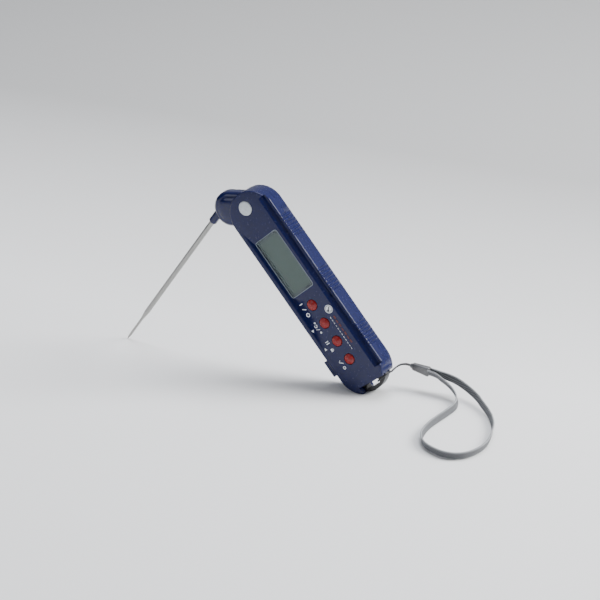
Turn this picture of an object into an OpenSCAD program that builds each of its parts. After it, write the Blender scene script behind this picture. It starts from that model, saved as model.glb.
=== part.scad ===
// Folding probe meat thermometer, standing on the end of its case and on the tip of its probe.
// Every piece of the case is drawn in the case's own frame: pivot pin on the Y axis, front face
// at y = 0, +Z up the case. The probe's pieces are drawn with the probe pointing straight down.

/* [Case] */
// Width of the case
case_w = 33; // [31:0.5:40]
// Depth of the case from front face to back face
case_d = 16.5; // [16:0.5:22]
// Distance from the pivot pin down to the centre of the rounded bottom end
case_reach = 124; // [122:1:150]
// How far the rounded top's centre lies below the pivot pin
top_drop = 6.5; // [5:0.5:8]
// How far the case's middle lies to the right of the pivot pin
case_shift = 1; // [0:0.5:2]
// Wall thickness of both shells
wall = 2; // [1.6:0.1:2.4]
// Radius of the front edge
front_edge_r = 0.8; // [0.4:0.1:1.2]
// Radius of the back edge
back_edge_r = 2.4; // [1:0.2:3]
// Width of the seam between the shells
seam = 0.1; // [0.05:0.05:0.3]

/* [Shoulder and grip] */
// Width of the sloped shoulder along the right edge
shoulder_w = 5.2; // [3:0.1:6]
// How far the shoulder drops below the front face
shoulder_drop = 2.2; // [1:0.1:3]
// Where the shoulder ends, below the pivot pin
shoulder_end = 128; // [120:1:132]
// Ribs in each grip group
rib_count = 6; // [3:1:8]
// Distance between ribs
rib_pitch = 2.5; // [2:0.1:3]
// Depth of the notches between ribs
rib_depth = 0.7; // [0.3:0.05:0.8]
// First rib of the first group, below the pivot pin
rib_start = 18; // [14:0.5:20]
// Distance from one group of ribs to the next
rib_group_pitch = 41.3; // [38:0.1:44]

/* [Pivot] */
// Thickness of the front ear
front_ear_t = 3.4; // [3:0.1:4.5]
// Thickness of the rear ear
rear_ear_t = 3.5; // [3:0.1:4.5]
// Radius of the pivot pin
pin_r = 2; // [1.5:0.1:2.5]
// Radial running clearance around the pin
pin_gap = 0.05; // [0.02:0.01:0.1]
// Radius of the silver cap over the pin
cap_r = 4.7; // [4:0.1:5.5]
// Gap between the probe's head and each ear
ear_gap = 0.4; // [0.3:0.05:0.6]
// Clearance around small fitted pieces
fit_gap = 0.1; // [0.05:0.05:0.2]

/* [Probe] */
// How far the probe's axis lies from the pivot
probe_offset = 14.1; // [13.6:0.1:14.6]
// Distance from the pivot along the probe to its tip
probe_reach = 145.4; // [135:0.2:160]
// Radius of the probe tube
tube_r = 1.65; // [1.3:0.05:1.8]
// Wall of the probe tube
tube_wall = 0.45; // [0.3:0.05:0.6]
// Radius of the slim tip
tip_r = 0.85; // [0.6:0.05:1]
// Length of the slim tip with its point
tip_len = 19; // [12:0.5:24]
// Length of the taper between tube and tip
taper_len = 8; // [4:0.5:10]
// Radius of the head's round bulb
bulb_r = 11.5; // [10:0.1:11.5]
// Bulb centre, measured sideways from the pivot
bulb_x = 9.5; // [9:0.1:10]
// Bulb centre, measured along the probe from the pivot
bulb_z = 12.8; // [12:0.1:13.5]
// Radius of the head around the pivot
barrel_r = 8.5; // [7:0.1:9]
// Radius of the collar on the probe
collar_r = 2.7; // [2.4:0.05:2.8]
// Length of the collar outside the head
collar_len = 6.8; // [4:0.1:8]
// Room around the head in its pocket
head_room = 0.5; // [0.4:0.1:0.8]
// Largest opening angle of the probe from folded
open_max = 100; // [90:1:104]

/* [Display] */
// Width of the display window
window_w = 19.8; // [17:0.1:20]
// Height of the display window
window_h = 42.4; // [36:0.1:44]
// Top of the window, below the pivot pin
window_top = 21.5; // [20:0.1:24]
// Window centre to the right of the pivot pin
window_x = 0.3; // [0:0.1:1]
// Corner radius of the window
window_r = 1.8; // [1:0.1:3]
// Thickness of the clear window
window_t = 1.1; // [0.8:0.1:1.4]

/* [Keys] */
// Radius of a key
key_r = 3.5; // [3:0.1:4]
// How far a key stands out of the front face
key_proud = 1.3; // [0.8:0.1:1.8]
// Distance between keys
key_pitch = 13.7; // [11:0.1:14]
// First key, below the pivot pin
key_top = 73.9; // [72:0.1:76]
// Travel of a key
key_travel = 0.6; // [0.4:0.1:0.8]
// Radial clearance of a key in its hole
key_gap = 0.3; // [0.2:0.05:0.4]

/* [Battery] */
// Radius of the coin cell
cell_r = 10; // [8:0.1:10]
// Thickness of the coin cell
cell_t = 3.2; // [2:0.1:3.2]
// Battery centre, below the pivot pin
battery_z = 97; // [90:1:104]
// Rim of the battery cover beyond the coin cell
cover_rim = 1.1; // [0.8:0.1:1.4]
// Angle that the battery cover turns to open
cover_turn = 60; // [45:1:70]

/* [Eyelet] */
// Width of the eyelet's slot
slot_w = 11; // [8:0.5:11]
// Height of the eyelet's slot
slot_h = 2.8; // [2:0.1:3]
// Thickness of the eyelet piece
bail_t = 6; // [4:0.2:6.4]

/* [Clip] */
// How far the clip's lips stand out of the case
lip_out = 3.9; // [3:0.1:4.5]
// Thickness of each lip
lip_t = 3.7; // [2.5:0.1:4]
// Length of the lips
lip_len = 11.2; // [8:0.2:14]
// Top of the lips, below the pivot pin
lip_top = 108; // [100:1:112]

/* [Stance] */
// Lean of the case from upright
lean = 40.5; // [36:0.5:45]

/* [Strap] */
// Width of the webbing
web_w = 5; // [4:0.5:6]
// Thickness of the webbing
web_t = 0.9; // [0.6:0.1:1.2]
// Diameter of the lead cord
lead_d = 1; // [0.8:0.1:1.2]

/* [Hidden] */
$fn = 64;

// Case
case_r = case_w / 2;
left_x = case_shift - case_r;
right_x = case_shift + case_r;
probe_y = (front_ear_t + case_d - rear_ear_t) / 2;
inner_y0 = wall;
inner_y1 = case_d - wall;
far = 200;

// Pocket for the head, and channel for the folded probe
swing_r = norm([bulb_x, bulb_z]) + bulb_r + head_room - 0.1;
pocket_y0 = front_ear_t;
pocket_y1 = case_d - rear_ear_t;
pocket_wall = 1.3;
channel_room = 0.45;
channel_x = -probe_offset + tube_r + channel_room;
channel_half = tube_r + channel_room;
collar_pocket_half = collar_r + channel_room;
channel_wall = 1.2;
inner_left = channel_x + channel_wall;
bulb_foot = bulb_z + sqrt(bulb_r * bulb_r - pow(probe_offset - bulb_x, 2));
collar_end = bulb_foot + collar_len;

// Head of the probe
head_y0 = pocket_y0 + ear_gap;
head_y1 = pocket_y1 - ear_gap;
head_edge_r = 3.4;
rear_cover_t = 1.3;
rear_edge_r = 0.8;
head_split = head_y1 - rear_cover_t;
head_seam = 0.05;
neck_angle = 180 - acos((bulb_r - barrel_r) / norm([bulb_x, bulb_z]));
neck_dir = atan2(-bulb_z, -bulb_x);
head_screw_x = 13;
head_screw_z = 5.5;
head_screw_r = 1;
tip_point_r = 0.3;
tip_point_len = 3;
tube_start = 14;
crimp = 0.4;
collar_tip_r = max(collar_r - 0.5, tube_r + crimp + 0.15);
bead_r = 0.45;
lead_wire_r = 0.2;

// Stance: the lowest point of the case and the ball of the tip both touch z = 0
pivot_z = case_reach * cos(lean) + case_r - case_shift * sin(lean);
tip_z = probe_reach - tip_point_r;
splay = acos((pivot_z - tip_point_r) / norm([tip_z, probe_offset])) - atan(probe_offset / tip_z);
left_extent = tip_z * sin(splay) + probe_offset * cos(splay) + tip_point_r;
right_extent = case_reach * sin(lean) + case_shift * cos(lean) + case_r;
pivot_x = (left_extent - right_extent) / 2;
front_y = -(case_d - key_proud) / 2;
fold_angle = lean + splay;
open_more = open_max - fold_angle;

// Display stack
window_sill = 0.35;
window_seat = 1.1;
lcd_w = 17.6;
lcd_h = 34.6;
lcd_t = 2;
lcd_top = window_top + 5.8;
lcd_y = wall + 0.2;
frame_rim = 1;
board_t = 1.2;
board_y = 6.4;
board_top = 29.5;
board_bottom = 120;
strip_t = 1.6;

// Keys
key_flange = 0.9;
key_flange_t = 0.8;
key_flange_y = wall + 0.15;
dome_h = 0.5;
dome_r = 2.6;

// Battery
cover_r = cell_r + cover_rim;
battery_x = (inner_left + case_shift + case_r - wall) / 2;
cover_gap = 0.3;
cover_y = case_d - 2.2;
lug_w = 34;
lug_r = cover_r + 1.2;
lug_t = 0.8;
holder_wall = 0.8;
holder_floor = 0.8;
holder_y = board_y + board_t + fit_gap;
cell_y = cover_y - 0.85 - cell_t;
coin_slot_w = 15;
coin_slot_t = 1.8;
coin_slot_deep = 1;

// Eyelet corner
notch_x = -7;
notch_z = case_reach + 9.8;
notch_z_right = notch_z + 1.6;
end_wall = 2;
slot_x = 0.25;
slot_z = case_reach + 11;
tongue_x0 = -1;
tongue_x1 = 12;
tongue_z = case_reach - 1;
bail_y0 = probe_y - bail_t / 2;
bail_y1 = probe_y + bail_t / 2;

// Screws and their posts, as distances right of and below the pivot pin
post_r = 2.4;
posts = [[12.6, 34], [-7.9, 68.5], [12.6, 78], [-7.9, case_reach + 2.5], [6, case_reach + 3.5]];
screw_r = 1.1;
screw_head_r = 2.1;
screw_head_t = 1.5;
screw_len = 8;
screw_head_y = case_d - 4;

// Strap: the lead's route goes from the clasp through the eyelet, round its bar and back
lead_route = [[105, 19, 14.8], [101, 18.4, 15.3], [98, 16.6, 15], [96.2, 13.8, 13.8],
    [94.8, 10.2, 12.2], [93.5, 7, 10.8], [91.9, 4.6, 9.7], [91.8, 3, 9.4], [91.7, 0.6, 9.4],
    [91.8, -1.8, 9.4], [92, -3, 9.8], [93.8, -3.2, 11.6], [96, -3.2, 13.7], [97.3, -3, 15],
    [97.8, -1.8, 15.3], [97.8, 0.4, 15.3], [97.7, 3, 15.2], [96.7, 6.4, 13.6],
    [96.3, 10, 13.6], [97, 13.2, 14.4], [98.8, 15.9, 15.2], [101.4, 17.5, 15.2],
    [105, 18.2, 14.6]];
web_route = [[116.5, 19.5, 13.2], [123, 20, 12.2], [129, 21, 11], [135, 21, 9.6],
    [141, 19.5, 8], [147, 17, 6.4], [153, 13.5, 4.8], [159, 8, 3.6], [165, 2, 2.9],
    [171, -5.5, 2.6], [177, -15.5, 2.6], [181, -26.5, 2.6], [184, -38.5, 2.6],
    [184.5, -47.5, 2.6], [183, -55.5, 2.6], [180, -62, 2.6], [175, -66, 2.6], [168, -67, 2.6],
    [161, -65, 2.6], [155, -62, 2.6], [150, -57.5, 2.6], [146, -51.5, 2.6], [143.5, -43.5, 2.6],
    [142.5, -33.5, 2.6], [143, -22.5, 2.6], [144, -11.5, 2.6], [144.5, -1.5, 2.9],
    [142.5, 6, 3.6], [138.5, 11.5, 5.4], [133, 14.5, 8.2], [127, 16, 10.6], [122.5, 17, 12.2],
    [116.5, 17, 13.2]];
clasp_from = [104, 18.7, 14.5];
clasp_to = [117.5, 18.4, 13];
clasp_h = 6.4;
clasp_t = 4.6;

// Colours
navy = "#232e51";
dark_navy = "#1b2240";
black = "#17171b";
red = "#8a1a1e";
steel = "#b4b4b2";

// ---- Shared shapes ----

// Places a piece of the case in the part's frame
module in_case() {
    translate([pivot_x, front_y, pivot_z]) rotate([0, -lean, 0]) children();
}

// Places a piece of the probe in the part's frame
module in_probe() {
    translate([pivot_x, front_y, pivot_z]) rotate([0, splay, 0]) children();
}

// Extrudes an outline drawn in X and Z from depth y0 to depth y1
module along_y(y0, y1) {
    translate([0, y1, 0]) rotate([90, 0, 0]) linear_extrude(y1 - y0) children();
}

// Half of the case's cross-section, rounded by r0 at the front and r1 at the back
function half_section(r, y0, y1, r0, r1) = concat(
    [[0, y0]],
    [for (a = [0 : 22.5 : 90]) [r - r0 + r0 * sin(a), y0 + r0 - r0 * cos(a)]],
    [for (a = [0 : 15 : 90]) [r - r1 + r1 * cos(a), y1 - r1 + r1 * sin(a)]],
    [[0, y1]]);

function mirrored(points) = concat(points, [for (i = [len(points) - 2 : -1 : 1])
    [-points[i][0], points[i][1]]]);

// A solid with round ends and rounded edges, inset from the case's outline
module case_solid(inset, y0, y1, r0, r1) {
    half = half_section(case_r - inset, y0, y1, r0, r1);
    translate([case_shift, 0, -case_reach]) linear_extrude(case_reach - top_drop)
        polygon(mirrored(half));
    for (z = [-top_drop, -case_reach]) {
        translate([case_shift, 0, z]) rotate([-90, 0, 0]) rotate_extrude($fn = 96) polygon(half);
    }
}

module round_rect(w, h, r) {
    square([w - 2 * r, h], center = true);
    square([w, h - 2 * r], center = true);
    for (x = [-1, 1], y = [-1, 1]) translate([x * (w / 2 - r), y * (h / 2 - r)]) circle(r);
}

// Outline of the room that the head sweeps, grown by extra
module pocket_outline(extra) {
    turn = open_max;
    c = [-bulb_x, -bulb_z];
    far_c = [c[0] * cos(turn) + c[1] * sin(turn), -c[0] * sin(turn) + c[1] * cos(turn)];
    head_outline(-head_room - extra);
    rotate(-turn) head_outline(-head_room - extra);
    intersection() {
        circle(swing_r + extra, $fn = 96);
        polygon([[0, 0], 4 * c, [-far, -far], [-far, far], 4 * far_c]);
    }
}

// Room for the folded probe and its collar, open to the left
module channel() {
    translate([-far + channel_x, probe_y - channel_half, -far])
        cube([far, 2 * channel_half, far - bulb_z]);
    translate([-far - probe_offset + collar_pocket_half, probe_y - collar_pocket_half,
        -collar_end - 1]) cube([far, 2 * collar_pocket_half, collar_end + 1 - bulb_z]);
}

module eyelet_notch(extra) {
    along_y(-1, case_d + 1) polygon([[notch_x - extra, -notch_z + extra],
        [right_x + 1, -notch_z_right + extra], [right_x + 1, -far], [notch_x - extra, -far]]);
}

// The hollow inside the closed case, with walls left round the pocket, channel and eyelet
module interior() {
    difference() {
        case_solid(wall, inner_y0, inner_y1, 0.4, 0.4);
        along_y(-1, case_d + 1) pocket_outline(pocket_wall);
        translate([-far + inner_left, -1, -far]) cube([far, case_d + 2, 2 * far]);
        translate([right_x - shoulder_w - wall, -1, -shoulder_end - wall])
            cube([far, 1 + 1.4 * shoulder_drop + 0.8 * wall, far]);
        eyelet_notch(end_wall);
    }
}

// Everything that is cut out of the closed case's outer form
module outer_cuts() {
    along_y(pocket_y0, pocket_y1) pocket_outline(0);
    channel();
    interior();
    eyelet_notch(0);
    translate([tongue_x0 - fit_gap, bail_y0 - fit_gap, -notch_z_right - 1])
        cube([tongue_x1 - tongue_x0 + 2 * fit_gap, bail_t + 2 * fit_gap, 5]);
    grip_notches();
    shoulder();
}

module grip_notches() {
    for (g = [0 : 2], i = [0 : rib_count]) {
        z = -rib_start - g * rib_group_pitch - (i - 0.5) * rib_pitch;
        translate([right_x + rib_pitch / 2 - 0.4 - rib_depth + 0.15, 0, z])
            along_y(-1, case_d + 1) circle(rib_pitch / 2 - 0.4, $fn = 24);
    }
}

module shoulder() {
    x0 = right_x - shoulder_w;
    translate([0, 0, -shoulder_end]) linear_extrude(shoulder_end)
        polygon(concat([[x0, -1]], [for (t = [0 : 0.125 : 1]) [x0 + t * shoulder_w,
            shoulder_drop * (1.5 * pow(sin(90 * min(1, 1.3 * t)), 1.2) - 0.5 * pow(t, 3))]],
            [[right_x + 1, shoulder_drop], [right_x + 1, -1]]));
}

module post(p, y0, y1) {
    translate([p[0], 0, -p[1]]) along_y(y0, y1) circle(post_r, $fn = 40);
}

module hole(p, y0, y1, r) {
    translate([p[0], 0, -p[1]]) along_y(y0, y1) circle(r, $fn = 40);
}

// ---- Case ----

module front_shell() {
    color(navy) in_case() difference() {
        union() {
            difference() {
                intersection() {
                    case_solid(0, 0, case_d, front_edge_r, back_edge_r);
                    translate([-far, -1, -far]) cube([2 * far, probe_y - seam / 2 + 1, 2 * far]);
                }
                outer_cuts();
                along_y(-1, pocket_y0 + 1) circle(pin_r + pin_gap);
                along_y(-1, window_seat / 2) circle(cap_r + fit_gap);
            }
            for (p = posts) post(p, wall - 0.1, probe_y - seam / 2);
            translate([left_x - lip_out, probe_y - channel_half - lip_t, -lip_top - lip_len])
                cube([lip_out + 1, lip_t, lip_len]);
        }
        translate([window_x, 0, -window_top - window_h / 2])
            along_y(-1, window_sill + window_t + fit_gap) round_rect(window_w, window_h, window_r);
        translate([window_x, 0, -window_top - window_h / 2])
            along_y(-1, wall + 1) round_rect(window_w - 3.2, window_h - 4.4, window_r);
        for (i = [0 : 3]) hole([0, key_top + i * key_pitch], -1, wall + 1, key_r + key_gap);
        for (p = posts) hole(p, wall + 0.2, probe_y + 1, screw_r + 0.02);
    }
}

module back_shell() {
    color(navy) in_case() difference() {
        union() {
            difference() {
                intersection() {
                    case_solid(0, 0, case_d, front_edge_r, back_edge_r);
                    translate([-far, probe_y + seam / 2, -far]) cube([2 * far, far, 2 * far]);
                }
                outer_cuts();
                along_y(pocket_y1 - 1, case_d + 1) circle(pin_r + pin_gap);
                along_y(case_d - 1.4, case_d + 1) circle(cap_r + fit_gap);
            }
            for (p = posts) post(p, probe_y + seam / 2, inner_y1 + 0.1);
            translate([left_x - lip_out, probe_y + channel_half, -lip_top - lip_len])
                cube([lip_out + 1, lip_t, lip_len]);
        }
        for (p = posts) {
            hole(p, probe_y - 1, case_d + 1, screw_r + fit_gap);
            hole(p, screw_head_y - screw_head_t, case_d + 1, screw_head_r + fit_gap);
        }
        hole([battery_x, battery_z], inner_y1 - 1, case_d + 1, cover_r + cover_gap);
        translate([battery_x, 0, -battery_z]) along_y(inner_y1 - 1, case_d + 1)
            lugs(lug_r + cover_gap, lug_w + 4, cover_turn);
    }
}

// ---- Display ----

module display_window() {
    color("#c8d2cf", 0.4) in_case() translate([window_x, 0, -window_top - window_h / 2])
        along_y(window_sill, window_sill + window_t)
            round_rect(window_w - 2 * fit_gap, window_h - 2 * fit_gap, window_r - fit_gap);
}

module lcd_module() {
    color("#5c6e6b") in_case() translate([window_x - lcd_w / 2, lcd_y, -lcd_top - lcd_h])
        cube([lcd_w, lcd_t, lcd_h]);
}

// A rim that holds the glass against the front shell and stands on the board
module lcd_frame() {
    color(black) in_case() difference() {
        translate([window_x - lcd_w / 2 - frame_rim, lcd_y + 0.3, -lcd_top - lcd_h - frame_rim])
            cube([lcd_w + 2 * frame_rim, board_y - lcd_y - 0.3 - fit_gap, lcd_h + 2 * frame_rim]);
        translate([window_x - lcd_w / 2 - fit_gap, 0, -lcd_top - lcd_h - fit_gap])
            cube([lcd_w + 2 * fit_gap, case_d, lcd_h + 2 * fit_gap]);
    }
}

module contact_strips() {
    color("#2a2a2a") in_case() for (z = [lcd_top + 1, lcd_top + lcd_h - 1 - strip_t]) {
        translate([window_x - lcd_w / 2 + 1, lcd_y + lcd_t, -z - strip_t])
            cube([lcd_w - 2, board_y - lcd_y - lcd_t, strip_t]);
    }
}

// ---- Electronics ----

module circuit_board() {
    color("#1f5a3a") in_case() difference() {
        translate([inner_left + 0.5, board_y, -board_bottom])
            cube([right_x - wall - inner_left - 1.1, board_t, board_bottom - board_top]);
        for (p = posts) hole(p, board_y - 1, board_y + board_t + 1, post_r + 0.4);
        along_y(board_y - 1, board_y + board_t + 1) pocket_outline(pocket_wall + 0.4);
    }
}

module controller_chip() {
    color("#121214") in_case() translate([1, board_y + board_t, -58])
        along_y(0, 1.4) round_rect(9, 9, 0.6);
}

module key_domes() {
    color(steel) in_case() for (i = [0 : 3]) {
        translate([0, board_y, -key_top - i * key_pitch]) rotate([90, 0, 0])
            cylinder(h = dome_h, r1 = dome_r, r2 = dome_r * 0.6, $fn = 40);
    }
}

// A domed red key with a flange behind the front wall and a stem above its dome
module key(i) {
    top = -key_proud;
    stem_end = board_y - dome_h - key_travel - 0.1;
    color(red) in_case() translate([0, 0, -key_top - i * key_pitch]) rotate([-90, 0, 0])
        rotate_extrude($fn = 64) polygon(concat(
            [for (a = [0 : 15 : 60]) [key_r * sin(a) / sin(60), top + key_proud * (1 - cos(a)) * 1.4]],
            [[key_r, key_flange_y], [key_r + key_flange, key_flange_y],
                [key_r + key_flange, key_flange_y + key_flange_t],
                [1.6, key_flange_y + key_flange_t], [1.6, stem_end], [0, stem_end]]));
}

module key_power() { key(0); }
module key_units() { key(1); }
module key_hold() { key(2); }
module key_set() { key(3); }

module buzzer() {
    color("#c9a24a") in_case() translate([4, 0, -72]) along_y(board_y + board_t, board_y + board_t + 2.4)
        circle(5);
}

// ---- Battery ----

module battery_holder() {
    color(black) in_case() translate([battery_x, 0, -battery_z]) difference() {
        along_y(holder_y, cover_y - lug_t - 0.6) circle(cell_r + 0.4 + holder_wall);
        along_y(holder_y + holder_floor, case_d) circle(cell_r + 0.4);
    }
}

module battery_contact_minus() {
    color(steel) in_case() translate([battery_x, 0, -battery_z]) rotate([-90, 0, 0])
        translate([0, 0, holder_y + holder_floor]) cylinder(h = cell_y - fit_gap - holder_y - holder_floor, r1 = 6, r2 = 3);
}

// A spring finger that presses on the cell's rim
module battery_contact_plus() {
    color(steel) in_case() translate([battery_x, 0, -battery_z]) intersection() {
        along_y(holder_y + holder_floor, cell_y + cell_t) difference() {
            circle(cell_r + 0.35);
            circle(cell_r + 0.1);
        }
        translate([-3, 0, 0]) cube([6, case_d, far]);
    }
}

module battery_cell() {
    color("#c4c4c0") in_case() translate([battery_x, 0, -battery_z]) {
        along_y(cell_y + 0.5, cell_y + cell_t) circle(cell_r);
        along_y(cell_y, cell_y + 0.5) circle(cell_r - 1);
    }
}

// Three lugs that hold a quarter-turn cover
module lugs(r, w, turn) {
    for (i = [0 : 2]) rotate(i * 120 + turn) intersection() {
        circle(r);
        polygon([[0, 0], [far * cos(w / 2), far * sin(w / 2)], [far, 0],
            [far * cos(w / 2), -far * sin(w / 2)]]);
    }
}

module battery_cover() {
    color(dark_navy) in_case() translate([battery_x, 0, -battery_z]) difference() {
        union() {
            along_y(cover_y, case_d) circle(cover_r);
            along_y(cover_y - lug_t, cover_y) circle(cover_r - 0.2);
            along_y(cover_y - lug_t, inner_y1 - 0.25) lugs(lug_r, lug_w, 0);
        }
        along_y(case_d - coin_slot_deep, case_d + 1)
            square([coin_slot_w, coin_slot_t], center = true);
        along_y(0, cover_y) circle(cell_r + 0.3);
    }
}

module battery_cover_seal() {
    color("#26262a") in_case() translate([battery_x, cover_y, -battery_z]) rotate([90, 0, 0])
        rotate_extrude() polygon([[cell_r - 1.2, 0], [cell_r + 0.2, 0], [cell_r + 0.2, 0.7],
            [cell_r - 1.2, 0.7]]);
}

module case_screws() {
    color(steel) in_case() for (p = posts) {
        hole(p, screw_head_y - screw_head_t - screw_len, screw_head_y - screw_head_t, screw_r);
        translate([p[0], 0, -p[1]]) difference() {
            along_y(screw_head_y - screw_head_t, screw_head_y) circle(screw_head_r);
            along_y(screw_head_y - 0.8, screw_head_y + 1) for (a = [0, 90])
                rotate(a) square([2.4, 0.5], center = true);
        }
    }
}

// ---- Pivot ----

module pivot_pin() {
    color(steel) in_case() along_y(window_seat / 2, case_d - 1.4) circle(pin_r);
}

module pivot_cap() {
    color("#cdd6da") in_case() rotate([-90, 0, 0]) rotate_extrude() polygon([[0, -0.5],
        [cap_r - 0.6, -0.5], [cap_r, 0], [cap_r, window_seat / 2], [0, window_seat / 2]]);
}

module pivot_clip() {
    color(steel) in_case() along_y(case_d - 1.4, case_d - 0.2) difference() {
        circle(cap_r - 0.4);
        translate([1.2, 0]) circle(0.7, $fn = 24);
        translate([-1.2, 0]) circle(0.7, $fn = 24);
    }
}

module friction_washers() {
    color("#9b8f6a") in_case() for (y = [pocket_y0 + 0.05, pocket_y1 - ear_gap + 0.05]) {
        along_y(y, y + ear_gap - 0.1) difference() {
            circle(pin_r + 3);
            circle(pin_r + 0.3);
        }
    }
}

// ---- Probe ----

// Outline of the head: a barrel on the pivot and a bulb, joined by their common tangents
module head_outline(inset) {
    circle(barrel_r - inset);
    translate([-bulb_x, -bulb_z]) circle(bulb_r - inset);
    polygon([for (k = [[0, 1], [1, 1], [1, -1], [0, -1]])
        let (a = neck_dir + k[1] * neck_angle, r = (k[0] == 0 ? barrel_r : bulb_r) - inset - 0.06)
        [-bulb_x * k[0] + r * cos(a), -bulb_z * k[0] + r * sin(a)]]);
}

// Part of the head from its outer face to the split, with its edge stepped in a quarter round
module head_half(y_flat, y_split, r, steps) {
    toward = sign(y_split - y_flat);
    for (i = [0 : steps - 1]) {
        a = 90 * (i + 0.5) / steps;
        y0 = y_flat + toward * r * (1 - cos(90 * i / steps));
        along_y(min(y0, y_split), max(y0, y_split)) head_outline(r * (1 - sin(a)));
    }
}

module probe_bore(r) {
    translate([-probe_offset, probe_y, -far]) cylinder(h = far - tube_start + 0.2, r = r);
}

module head_cuts() {
    along_y(-1, case_d + 1) circle(pin_r + pin_gap);
    probe_bore(tube_r + crimp + 0.02);
    translate([-probe_offset, probe_y, -far]) cylinder(h = far - bulb_foot + 2.1, r = collar_r + 0.02);
    translate([-probe_offset + 1, probe_y - 1.2, -tube_start - 0.2]) cube([6, 2.4, 4]);
}

module probe_head_front() {
    color(navy) in_probe() difference() {
        head_half(head_y0, head_split - head_seam, head_edge_r, 5);
        head_cuts();
        for (s = [-1, 1]) translate([head_screw_at(s)[0], 0, head_screw_at(s)[1]])
            along_y(head_split - 4, case_d) circle(head_screw_r + 0.02, $fn = 32);
    }
}

module probe_head_rear() {
    color(black) in_probe() difference() {
        head_half(head_y1, head_split + head_seam, rear_edge_r, 2);
        head_cuts();
        for (s = [-1, 1]) translate([head_screw_at(s)[0], 0, head_screw_at(s)[1]]) {
            along_y(0, case_d) circle(head_screw_r + fit_gap, $fn = 32);
            along_y(head_y1 - 0.8, case_d) circle(head_screw_r + 0.9, $fn = 32);
        }
    }
}

function head_screw_at(s) = s > 0 ? [-4.5, -19] : [-13, -6];

module head_screws() {
    color(steel) in_probe() for (s = [-1, 1]) {
        translate([head_screw_at(s)[0], 0, head_screw_at(s)[1]]) {
            along_y(head_split - 3.8, head_y1 - 0.7) circle(head_screw_r, $fn = 32);
            along_y(head_y1 - 0.7, head_y1 - 0.1) circle(head_screw_r + 0.8, $fn = 32);
        }
    }
}

module probe_collar() {
    color(dark_navy) in_probe() translate([-probe_offset, probe_y, 0]) rotate_extrude()
        polygon([[tube_r + crimp + 0.02, -bulb_foot + 2], [collar_r, -bulb_foot + 2],
            [collar_r, -collar_end + 0.8], [collar_tip_r, -collar_end],
            [tube_r + crimp + 0.02, -collar_end]]);
}

module probe_tube() {
    shoulder_z = tip_z - tip_len;
    color(steel) in_probe() translate([-probe_offset, probe_y, 0]) rotate_extrude() polygon(concat(
        [[tube_r - tube_wall, -tube_start], [tube_r + crimp, -tube_start],
            [tube_r + crimp, -collar_end], [tube_r, -collar_end],
            [tube_r, -shoulder_z + taper_len], [tip_r, -shoulder_z],
            [tip_r, -tip_z + tip_point_len]],
        [for (a = [0 : 22.5 : 90]) [tip_point_r * cos(a), -tip_z - tip_point_r * sin(a)]],
        [[0, -tip_z + tip_point_len], [bead_r, -tip_z + tip_point_len + 0.5],
            [bead_r, -shoulder_z], [tube_r - tube_wall, -shoulder_z + taper_len]]));
}

module sensor_bead() {
    color("#202020") in_probe() translate([-probe_offset, probe_y, -tip_z + tip_point_len + 0.8])
        cylinder(h = 3, r = bead_r - 0.03, $fn = 24);
}

module sensor_leads() {
    color("#c8c8c0") in_probe() for (s = [-1, 1]) {
        translate([-probe_offset + s * lead_wire_r, probe_y, -tip_z + tip_point_len + 3.8])
            cylinder(h = tip_z - tip_point_len - 3.8 - tube_start + 0.1, r = lead_wire_r - 0.01, $fn = 16);
    }
}

// ---- Eyelet and strap ----

module lanyard_bail() {
    color(black) in_case() difference() {
        union() {
            intersection() {
                along_y(bail_y0, bail_y1) translate([case_shift, -case_reach]) circle(case_r, $fn = 96);
                translate([0, 0, -0.1]) eyelet_notch(-0.05);
            }
            translate([tongue_x0, bail_y0, -notch_z_right - 0.5])
                cube([tongue_x1 - tongue_x0, bail_t, notch_z_right + 0.5 - tongue_z]);
        }
        translate([slot_x, 0, -slot_z - slot_h / 2]) along_y(-1, case_d + 1)
            round_rect(slot_w, slot_h, 0.8);
        hole(posts[4], -1, case_d + 1, post_r + 0.2);
    }
}

function unit(v) = v / norm(v);

// Points of a smooth curve through the route, with steps between each two points
function smooth(route, steps) = concat([for (i = [0 : len(route) - 2], k = [0 : steps - 1])
    let (p0 = route[max(i - 1, 0)], p1 = route[i], p2 = route[i + 1],
        p3 = route[min(i + 2, len(route) - 1)], t = k / steps)
    0.5 * (2 * p1 + (p2 - p0) * t + (2 * p0 - 5 * p1 + 4 * p2 - p3) * t * t
        + (3 * p1 - p0 - 3 * p2 + p3) * t * t * t)], [route[len(route) - 1]]);

function direction(line, i) = unit(line[min(i + 1, len(line) - 1)] - line[max(i - 1, 0)]);

// Carries a side vector along the line with as little turning as possible
function sides(line, side, i = 0) = i >= len(line) ? [] :
    let (t = direction(line, i), s = unit(side - (side * t) * t))
    concat([s], sides(line, s, i + 1));

// A closed tube along a line: section gives each ring's points as [sideways, upwards]
module sweep(line, section, side) {
    n = len(section);
    across = sides(line, side);
    points = [for (i = [0 : len(line) - 1]) let (t = direction(line, i), up = cross(t, across[i]))
        for (p = section) line[i] + across[i] * p[0] + up * p[1]];
    last = len(line) - 1;
    faces = concat([[for (k = [0 : n - 1]) k]],
        [for (i = [0 : last - 1], k = [0 : n - 1]) [i * n + k, (i + 1) * n + k,
            (i + 1) * n + (k + 1) % n, i * n + (k + 1) % n]],
        [[for (k = [n - 1 : -1 : 0]) last * n + k]]);
    polyhedron(points, faces);
}

module strap_lead() {
    section = [for (k = [0 : 7]) lead_d / 2 * [cos(45 * k), sin(45 * k)]];
    color("#1d1d1f") sweep(smooth(lead_route, 3), section, [0, 0, 1]);
}

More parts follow.
